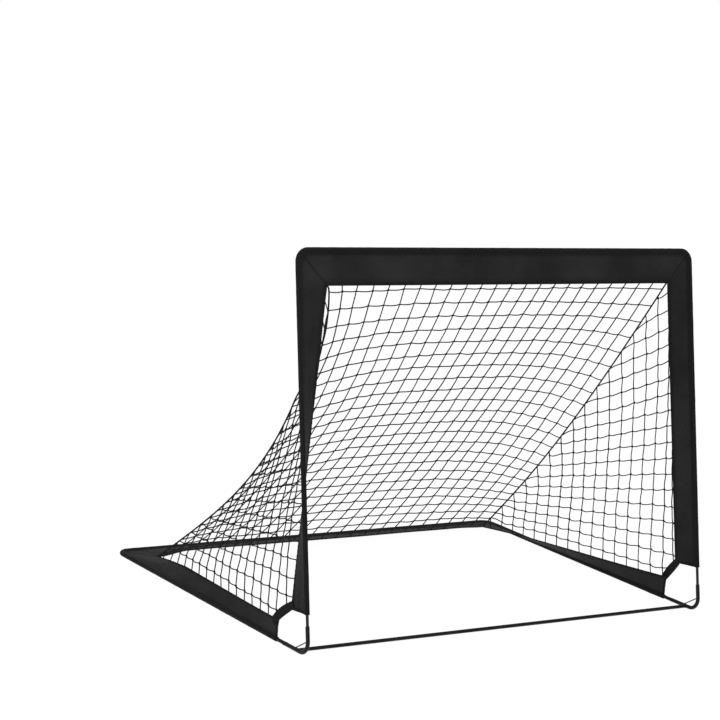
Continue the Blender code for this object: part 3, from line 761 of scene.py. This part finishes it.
def thickened(piece, thickness):
    wall = piece.modifiers.new("thickness", "SOLIDIFY")
    wall.thickness, wall.offset = thickness, 0


def sew_band(name, place, whole, body, node):
    """The cloth of one band, from its shape. Painted shade darkens it at its mitred seams and in its
    sleeve, and it is a little darker near its inner edge.
    """
    rows = round(whole / 0.0036)
    walked = [0.0]
    for (over_a, _), (over_b, _) in zip(section, section[1:]):
        walked.append(walked[-1] + (0.0015 if None in (over_a, over_b) else abs(over_a - over_b)))

    def cloth_at(i, j):
        return place(SEAM_GAP + (whole - 2 * SEAM_GAP) * j / rows, *section[i])

    bm, steps = laid_out(len(section) - 1, rows, cloth_at, lambda i, j, _: (whole * j / rows, walked[i]))
    band = finished(name, bm, cloth, body, [node], angle=75)
    mitres = (0, rows) if name.startswith(("crossbar", "rear")) else (0,)
    lightness = []
    # Painted shade in the cloth's colour: 0.30 in the sleeve and 0.15 at the mitred ends, where the fold
    # shades the seam. The cloth within 12 mm of the inner edge is also a quarter darker.
    for i, j in steps:
        over = section[i][0] or 0.0
        light = 0.30 + 0.70 * min(1.0, max(0.0, (over - STITCH_AT) / 0.005))
        light *= 0.75 if over > BAND_WIDE - 0.012 else 1.0
        lightness.append(light * (0.15 if j in mitres else 1.0))
    band.data.attributes.new("lightness", "FLOAT", "POINT").data.foreach_set("value", lightness)
    thickened(band, CLOTH_THICK)
    return band


band_shapes = {}
for side in (-1, 1):
    inward = ACROSS * -side
    low_post = on_post(side, 0.103 + 0.004 * side + right_only(side, 0.010))
    hem_corner = post_inner(side) + UP_POST * (0.002 + 0.004 * side) + BACK * 0.002
    band_shapes[hand("post", side)] = band_shape(
        corner_half(head(side), inward, -UP_POST), low_post, mouth_corner(side), hem_corner, -UP_POST,
        seed=10 + side,
    )
    band_shapes[hand("side", side)] = band_shape(
        corner_half(rear(side), inward, -BACK), foot(side) + BACK * SIDE_HEM_BACK,
        rear_inner(side), side_inner(side), -BACK,
        seed=20 + side, wrinkle=0.8, lowest=0.0016, pull=lambda share, side=side: side_pull(side, share),
    )
band_shapes["crossbar"] = band_shape(
    corner_half(head(-1), -UP_POST, ACROSS), corner_half(head(1), -UP_POST, -ACROSS),
    mouth_corner(-1), mouth_corner(1), seed=31,
)
band_shapes["rear"] = band_shape(
    corner_half(rear(-1), -BACK, ACROSS), corner_half(rear(1), -BACK, -ACROSS),
    rear_inner(-1), rear_inner(1), seed=41, wrinkle=0.8, lowest=0.0016, pull=rear_pull,
)

band_bodies = {"crossbar": "front_frame", "rear": "base", "side_left": "base", "side_right": "base"}
bands = {}
for key, (place, whole) in band_shapes.items():
    node = key.replace("_", "_band_") if "_" in key else key + "_band"
    bands[key] = sew_band(key + "_cloth", place, whole, band_bodies.get(key), node)


# The inner edges and the free ends of the bands are bound in narrow black tape, folded over the cloth's
# edge. The net is sewn into it. The tape is closer woven and duller than the cloth, and looks blacker.
TAPE_WIDE, TAPE_OFF, TAPE_THICK = 0.0062, 0.0011, 0.0006


def ribs(tree, scale, distortion=0.0, direction="X"):
    """Even ribs over the flat cloth."""
    wave = tree.nodes.new("ShaderNodeTexWave")
    wave.bands_direction = direction
    wave.inputs["Scale"].default_value = scale
    wave.inputs["Distortion"].default_value = distortion
    tree.links.new(cloth_uv(tree), wave.inputs["Vector"])
    return wave.outputs["Fac"]


def ribbed_tape():
    finish, tree = shader("black_edge_tape", (0.006, 0.006, 0.0065), 0.85, 0.12)
    ridges = ribs(tree, 250, 0.6)
    tint(tree, ridges, (0.0035, 0.0035, 0.004), (0.008, 0.008, 0.0085), 0.2, 0.8)
    relief(tree, ridges, 0.5, 0.0003)
    return finish


tape = ribbed_tape()
tape_section = [(-TAPE_WIDE, TAPE_OFF), (-TAPE_WIDE * 0.5, TAPE_OFF * 1.12), (0, TAPE_OFF)]
for a in (math.pi * 0.2, math.pi * 0.35, math.pi * 0.5):
    tape_section.append((TAPE_OFF * 0.9 * math.sin(a), TAPE_OFF * math.cos(a)))
tape_section += [(past, -off) for past, off in reversed(tape_section[:-1])]


def bind_edge(name, spot, count, body):
    """Tape folded over an edge. spot gives the point for a share along, a distance past it and one off."""
    bm, _ = laid_out(
        len(tape_section) - 1, count,
        lambda i, j: spot(j / count, *tape_section[i]), lambda i, j, point: (point.length, 0),
    )
    strip = finished(name, bm, tape, body, angle=75)
    thickened(strip, TAPE_THICK)
    return strip


bindings = {}
for key, (place, whole) in band_shapes.items():
    body = band_bodies.get(key)

    def along_inner(share, past, off, place=place, whole=whole):
        return place(0.0006 + (whole - 0.0012) * share, BAND_WIDE + past, off)

    bindings[key] = [bind_edge(key + "_edge_tape", along_inner, round(whole / 0.004), body)]
    if "_" in key:

        def across_end(share, past, off, place=place, whole=whole):
            outward = (place(whole, 0.03, 0) - place(whole - 0.004, 0.03, 0)).normalized()
            over = STITCH_AT + 0.001 + (BAND_WIDE - STITCH_AT) * share
            return place(whole - 0.0004, over, off) + outward * past

        bindings[key].append(bind_edge(key + "_end_tape", across_end, 18, body))


# Lockstitching in black thread holds the sleeve beside the pole, the tapes and the mitred corners. Each
# stitch is a short thread that dips at both ends, and shows on both faces of the band.
THREAD_R, STITCH_LONG, STITCH_PITCH = 0.00030, 0.0026, 0.0036


def sewing_thread():
    finish, tree = shader("black_sewing_thread", (0.010, 0.010, 0.011), 0.5, 0.2)
    twist = grain(tree, 2600, detail=1.0)
    tint(tree, twist, (0.007, 0.007, 0.008), (0.018, 0.018, 0.019))
    relief(tree, twist, 0.4, 0.0001)
    return finish


thread = sewing_thread()
bm = bmesh.new()
bmesh.ops.create_icosphere(bm, subdivisions=1, radius=1)
stitch_mesh = bpy.data.meshes.new("stitch")
bm.to_mesh(stitch_mesh)
bm.free()


def sew(bm, line):
    """Add a row of stitches along a line of points and the directions that face away from the cloth."""
    for (a, away_a), (b, _) in zip(line, line[1:]):
        run = (b - a).normalized()
        away = (away_a - run * away_a.dot(run)).normalized()
        turn = Matrix((run, away.cross(run), away)).transposed().to_4x4()
        size = Matrix.Diagonal((STITCH_LONG / 2, THREAD_R, THREAD_R, 1))
        place = Matrix.Translation((a + b) / 2) @ turn @ size
        stitch_mesh.transform(place)
        bm.from_mesh(stitch_mesh)
        stitch_mesh.transform(place.inverted())


stitch_rows = (
    (STITCH_AT + 0.0002, (LAYER_APART + CLOTH_THICK / 2) * 0.8),
    (BAND_WIDE - TAPE_WIDE + 0.0014, TAPE_OFF + 0.00038),
)
for key, (place, whole) in band_shapes.items():
    bm = bmesh.new()
    count = round(whole / STITCH_PITCH)
    for face_side in (-1, 1):
        for over, off in stitch_rows:
            line = []
            for k in range(count + 1):
                along = 0.001 + (whole - 0.002) * k / count
                spot = place(along, over, face_side * off)
                line.append((spot, spot - place(along, over, 0)))
            sew(bm, line)
    bands[key + "_thread"] = finished(
        key + "_stitching", bm, thread, band_bodies.get(key), angle=80
    )

# Each band is one folded length of cloth, so its cut width is twice the band's and the sleeve's turn.
for key, (place, whole) in band_shapes.items():
    pole = key.replace("side_", "side_pole_").replace("post_", "post_rod_")
    rests = [pole if "_" in key else key + "_pole"]


# The straps are short pieces of ribbed black webbing that join each post band to its side band and
# leave the corner open. They are sewn flat to the outside of both bands, and bow out between them.
STRAP_WIDE, STRAP_THICK, STRAP_CUT = 0.0200, 0.0013, 0.096
STRAP_ON_POST, STRAP_ON_SIDE = 0.012, 0.020
ACROSS_STEPS, ALONG_STEPS = 10, 32


def webbing():
    finish, tree = shader("black_webbing", (0.006, 0.006, 0.0065), 0.8, 0.12)
    cords = calculated(tree, "MULTIPLY", ribs(tree, 125, 0.8), ribs(tree, 90, direction="Y"))
    tint(tree, cords, (0.0030, 0.0030, 0.0034), (0.0095, 0.0095, 0.010), 0.05, 0.6)
    relief(tree, cords, 0.7, 0.0005)
    return finish


def strap_point(side, share, over):
    """A point of the webbing, on its way from the post band to the side band. Its upper edge is drawn up
    by the net, so it bows more than the lower one."""
    high, low = post_inner(side), side_inner(side)
    run = (low - high).normalized()
    bow = ACROSS.cross(run).normalized()
    middle = (high - run * STRAP_ON_POST).lerp(low + run * STRAP_ON_SIDE, share)
    swell = math.sin(math.pi * share)
    arch = (0.0024 + 0.0020 * over / (STRAP_WIDE / 2)) * swell
    out = ACROSS * side * (0.0008 + 0.0011 + STRAP_THICK / 2 + 0.0004 + 0.0022 * swell)
    return middle + bow * (over + 0.0045 + 0.0025 * share + arch) + out


def flat_strap(i, j):
    """Places over and along the strap for a step across it and one along it."""
    return (i / ACROSS_STEPS - 0.5) * STRAP_WIDE, j / ALONG_STEPS


weave = webbing()
for side in (-1, 1):

    def webbing_at(i, j, side=side):
        over, share = flat_strap(i, j)
        return strap_point(side, share, over)

    def webbing_uv(i, j, _):
        over, share = flat_strap(i, j)
        return share * 0.095, over

    bm, _ = laid_out(ACROSS_STEPS, ALONG_STEPS, webbing_at, webbing_uv)
    bmesh.ops.recalc_face_normals(bm, faces=bm.faces)
    strap = finished(hand("corner_strap", side), bm, weave, None, [hand("strap", side)])
    thickened(strap, STRAP_THICK)
    rounder = strap.modifiers.new("selvedge", "BEVEL")
    rounder.width, rounder.segments, rounder.limit_method = 0.0004, 2, "ANGLE"

    bm = bmesh.new()
    out = ACROSS * side * (STRAP_THICK / 2 + 0.0002)
    inset = STRAP_WIDE / 2 - 0.0028
    for low, high in ((0.02, 0.13), (0.80, 0.98)):
        box = [(low, -inset), (low, inset), (high, inset), (high, -inset), (low, -inset)]
        box += [(high, inset), (high, -inset), (low, inset)]
        for (share_a, over_a), (share_b, over_b) in zip(box, box[1:]):
            a, b = strap_point(side, share_a, over_a) + out, strap_point(side, share_b, over_b) + out
            count = max(2, round((b - a).length / 0.0032))
            sew(bm, [(a.lerp(b, k / count), out.normalized()) for k in range(count + 1)])
    sewn = finished(hand("strap_stitching", side), bm, thread, None, angle=80)
    rests = [bands[hand("post", side)], bands[hand("side", side)]]


# Two heavier cords run from the crossbar's inner corners down to the rear ones, inside the net. They
# hang in a curve and are drawn inward, because the net between them is tight.
SEAM_R = 0.0021
SEAM_IN, SEAM_DOWN, TIED_IN = 0.061, 0.116, 0.0265


def slack(share):
    return 4 * share * (1 - share) * (1 + 0.79 * (0.5 - share))


def tied_in(side, share):
    """How far the left cord's top is tied in from the post band's edge."""
    leaving = min(1.0, max(0.0, (share - 0.12) / 0.14))
    held = min(1.0, share / 0.09) ** 0.4 * (1 - leaving) ** 2 * (1 + 2 * leaving)
    return ACROSS * (TIED_IN * held if side < 0 else 0.0)


def seam_line_point(side, share):
    straight = top_inner(side).lerp(rear_inner(side) + side_pull(side, 0), share)
    return straight - Vector((side * SEAM_IN, 0, SEAM_DOWN)) * slack(share)


def seam_point(side, share):
    return seam_line_point(side, share) + tied_in(side, share)


def twisted_twine(name, turns):
    finish, tree = shader(name, (0.006, 0.006, 0.0065), 0.75, 0.15)
    place = tree.nodes.new("ShaderNodeUVMap")
    lay = tree.nodes.new("ShaderNodeMapping")
    lay.inputs["Scale"].default_value = (turns, 2.0, 1)
    strands = tree.nodes.new("ShaderNodeTexWave")
    strands.bands_direction = "DIAGONAL"
    strands.inputs["Scale"].default_value = 0.32
    tree.links.new(place.outputs["UV"], lay.inputs["Vector"])
    tree.links.new(lay.outputs["Vector"], strands.inputs["Vector"])
    fluff = grain(tree, 1500, detail=2.0)
    tint(tree, fluff, (0.0045, 0.0045, 0.005), (0.0095, 0.0095, 0.010))
    plies = relief(tree, strands.outputs["Fac"], 0.5, 0.0004)
    relief(tree, fluff, 0.4, 0.0002, before=plies)
    return finish


def twine_lines(name, lines, radius, sides, closed=False):
    """Round twine along each line of points, as one mesh."""
    curve = bpy.data.curves.new(name, "CURVE")
    curve.dimensions = "3D"
    curve.bevel_depth = radius
    curve.bevel_resolution = (sides - 4) // 2
    curve.use_fill_caps = not closed
    for line in lines:
        spline = curve.splines.new("POLY")
        spline.points.add(len(line) - 1)
        for knot, point in zip(spline.points, line):
            knot.co = (*point, 1)
        spline.use_cyclic_u = closed
    source = bpy.data.objects.new(name, curve)
    scene.collection.objects.link(source)
    bpy.context.view_layer.update()
    mesh = bpy.data.meshes.new_from_object(source.evaluated_get(bpy.context.evaluated_depsgraph_get()))
    bpy.data.objects.remove(source, do_unlink=True)
    bpy.data.curves.remove(curve)
    return mesh


def joined(name, meshes, material, node):
    """One piece of loose net or cord from its meshes."""
    bm = bmesh.new()
    for mesh in meshes:
        bm.from_mesh(mesh)
    bmesh.ops.remove_doubles(bm, verts=bm.verts, dist=1e-6)
    finished(name, bm, material, None, [node], angle=80)


cord_twine = twisted_twine("black_seam_cord", 400)
for side in (-1, 1):
    line = [seam_point(side, k / 96) for k in range(97)]
    line[0] = line[0] + UP * 0.001
    cord = twine_lines("cord", [line], SEAM_R, 12)
    joined(hand("seam_line", side), [cord], cord_twine, hand("seam_cord", side))


# The net is black twine in a square mesh of about 43 mm, tied in a knot at every crossing. Its back
# hangs from the crossbar to the rear band, and its sides fill the triangles behind the posts. The rows
# step a little at each knot, and every strand is slightly slack.
STRAND_R, KNOT_SIZE, KNOT_TWINE_R = 0.00150, 0.00092, 0.00112
CELL, UNEVEN = 0.0430, 0.0013
BACK_COLUMNS, BACK_DOWN = 23, 0.055
net_twine = twisted_twine("black_net_twine", 260)
knot_random = random.Random(7)


def slack_strand(knots, sag, step, drop=-UP):
    """Points of a strand through its knots: between two knots it sags, and it steps aside at each."""
    line = []
    for a, b in zip(knots, knots[1:]):
        share_of_cell = min(1.0, (b - a).length / CELL)
        bow = drop * sag * share_of_cell * knot_random.uniform(0.3, 1.5)
        for t in (0.0, 0.25, 0.5, 0.75):
            spot = a.lerp(b, t) + bow * 4 * t * (1 - t)
            line.append(spot + step * (0.5 - t) * 2 * share_of_cell if t else spot)
    line.append(knots[-1])
    return line


def rounded_end(last, finish, bulge):
    """Last points of a strand, which rounds its corner to meet the seam cord."""
    aside = bulge * min(1.0, (finish - last).length / CELL)
    steps = (0.25, 0.5, 0.75, 0.9, 1.0)
    return [last.lerp(finish, t) + aside * math.sin(math.pi * t) * (0.6 + t) for t in steps]


def knot_ring(centre, face):
    """Closed line of one tied knot: a small three-lobed turn of twine that faces along the net's face."""
    turn = face.to_track_quat("Z", "Y").to_matrix() @ Matrix.Rotation(knot_random.uniform(0, 2.1), 3, "Z")
    ring = []
    for k in range(14):
        a = 2 * math.pi * k / 14
        x, y = math.sin(a) + 2 * math.sin(2 * a), math.cos(a) - 2 * math.cos(2 * a)
        ring.append(centre + turn @ (Vector((x, y, -math.sin(3 * a) * 1.3)) * KNOT_SIZE))
    return ring


def net_piece(name, strands, knots, node):
    rings = [knot_ring(spot, face) for spot, face in knots]
    turns = twine_lines("knots", rings, KNOT_TWINE_R, 4, closed=True)
    joined(name, [twine_lines("strands", strands, STRAND_R, 6), turns], net_twine, node)


def back_point(across, down):
    """Across from 0 at the left seam to 1 at the right, down from the crossbar to the rear band."""
    point = seam_line_point(-1, down).lerp(seam_line_point(1, down), across)
    point += tied_in(-1, down) * max(0.0, 1 - across / 0.08)
    point.z += (SEAM_DOWN - BACK_DOWN) * (1 - abs(2 * across - 1) ** 3) * slack(down)
    between_corners = rear_pull(0).lerp(rear_pull(1), across)
    return point + (rear_pull(across) - between_corners) * max(0.0, (down - 0.8) / 0.2)


def jitter(amount):
    return Vector([knot_random.uniform(-1, 1) for _ in range(3)]) * amount


fine = 400
walk = [0.0]
for k in range(fine):
    walk.append(walk[-1] + (back_point(0.5, (k + 1) / fine) - back_point(0.5, k / fine)).length)


def share_at(length):
    k = min(max(bisect.bisect_right(walk, length) - 1, 0), fine - 1)
    return (k + (length - walk[k]) / (walk[k + 1] - walk[k])) / fine


row_count = round(walk[-1] / CELL)
grid = {}
for j in range(row_count):
    down = share_at((j + 0.5) * walk[-1] / row_count)
    for k in range(BACK_COLUMNS + 1):
        at_seam = k in (0, BACK_COLUMNS)
        grid[j, k] = back_point(k / BACK_COLUMNS, down) + jitter(0 if at_seam else UNEVEN)
strands = []
for j in range(row_count):
    row = [grid[j, k] for k in range(BACK_COLUMNS + 1)]
    strands.append(slack_strand(row, 0.0016, Vector((0, -0.0006, 0.0008))))
for k in range(1, BACK_COLUMNS):
    across = k / BACK_COLUMNS
    column = [back_point(across, 0) - UP * 0.0006] + [grid[j, k] for j in range(row_count)]
    column.append(back_point(across, 1) + UP * 0.0012)
    strands.append(slack_strand(column, 0.0008, ACROSS * 0.0005))
knots = [(grid[j, k], Vector((0, 0.7, 0.7))) for j in range(row_count) for k in range(1, BACK_COLUMNS)]
net_piece("knotted_back", strands, knots, "back_net")


def row_height(side, at_post, y, z):
    """Height of a side row at a place: level with its start at the post, and falling towards the back."""
    above = at_post - side_inner(1).z
    fall = 0.05 + 0.62 * above + 0.70 * above**3
    share = min(1.0, max(0.0, (rear_inner(1).y - y) / (rear_inner(1).y - side_inner(1).y)))
    lifted = side_pull(side, share).z * max(0.0, 1 - above / 0.25)
    return at_post - fall * (y - (post_inner(1).y + 0.1263 * (z - post_inner(1).z))) + lifted


def ground_edge(side, y):
    """The side band's inner edge at a distance back."""
    front, back = side_inner(side), rear_inner(side)
    share = min(1.0, max(0.0, (y - back.y) / (front.y - back.y)))
    return back.lerp(front, share) + side_pull(side, share)


def plumb_miss(side, bottom, spot):
    """How far a place on the seam is from where a column hangs to from its bottom. Columns lean back with
    the post, and on the right forward again as far as the net is drawn inward."""
    forward = right_only(side, 1.39) * abs(spot.x - bottom.x)
    return abs((spot.y - bottom.y) - 0.17 * (spot.z - bottom.z) + forward)


def net_point(side, bottom, high, z):
    """A column's point at a height. The side nets billow outward and are swept back a little."""
    rise = (z - bottom.z) / (high.z - bottom.z)
    tall = min(1.0, (high - bottom).length / 0.3)
    billow = ACROSS * side * 0.011 * tall * 4 * rise * (1 - rise)
    swept = BACK * (0.012 - 0.004 * side) * tall * math.sin(math.pi * min(1.0, max(0.0, rise) * 1.4) ** 0.7)
    return bottom.lerp(high, rise) + billow + swept


SIDE_ROWS, SIDE_COLUMNS, COLUMN_PITCH = 18, 17, 0.0431
for side in (-1, 1):
    post_a, post_b = post_inner(side), top_inner(side)
    strap_edge = [strap_point(side, k / 24, STRAP_WIDE / 2 - 0.001) for k in range(25)]
    seam_line = [seam_point(side, m / 600) for m in range(601)]
    columns = []
    for k in range(-1, SIDE_COLUMNS):
        if k < 0:
            bottom = min(strap_edge, key=lambda spot: abs(spot.y - (post_a.y + 0.017))).copy()
        else:
            bottom = ground_edge(side, side_inner(side).y + 0.012 + COLUMN_PITCH * k)
        above = [spot for spot in seam_line if spot.z > bottom.z + 0.012]
        if above and bottom.y < rear_inner(side).y - 0.015:
            columns.append((bottom, min(above, key=lambda spot: plumb_miss(side, bottom, spot))))
    tops = [high for _, high in columns]

    rows_of = {}
    strands = []
    for j in range(SIDE_ROWS):
        at_post = side_inner(side).z + (j + 0.55) * CELL
        crossings = []
        for k, (bottom, high) in enumerate(columns):
            z = at_post
            for _ in range(30):
                y = bottom.y + (high.y - bottom.y) * (z - bottom.z) / (high.z - bottom.z)
                z = row_height(side, at_post, y, z)
            if bottom.z + 0.007 < z < high.z - 0.006:
                rows_of[j, k] = net_point(side, bottom, high, z) + jitter(UNEVEN)
                crossings.append(rows_of[j, k])
        if at_post > post_a.z + 0.010:
            start = post_a.lerp(post_b, min(0.995, (at_post - post_a.z) / (post_b.z - post_a.z)))
        else:
            start = min(strap_edge, key=lambda spot: abs(spot.z - at_post)).copy()
        behind = [spot for spot in seam_line if not crossings or spot.y > crossings[-1].y + 0.004]
        strand = slack_strand([start] + crossings, 0.0024, UP * 0.0020)
        if behind and at_post < post_b.z - 0.01:
            finish = min(behind, key=lambda spot: abs(spot.z - row_height(side, at_post, spot.y, spot.z)))
            near = min(tops, key=lambda spot: (spot - finish).length)
            if (near - finish).length < 0.7 * CELL:
                finish = near
            strand += rounded_end(strand[-1], finish, UP * 0.0022)
        if len(strand) > 1:
            strands.append(strand)
    for k, (bottom, high) in enumerate(columns):
        middle = [rows_of[j, k] for j in range(SIDE_ROWS) if (j, k) in rows_of]
        strand = slack_strand([bottom] + middle, 0.0010, BACK * 0.0014, ACROSS * -side)
        strands.append(strand + rounded_end(strand[-1], high, BACK * 0.0012))
    knots = [(spot, ACROSS * side) for spot in rows_of.values()]
    net_piece(hand("knotted_side", side), strands, knots, hand("side_net", side))
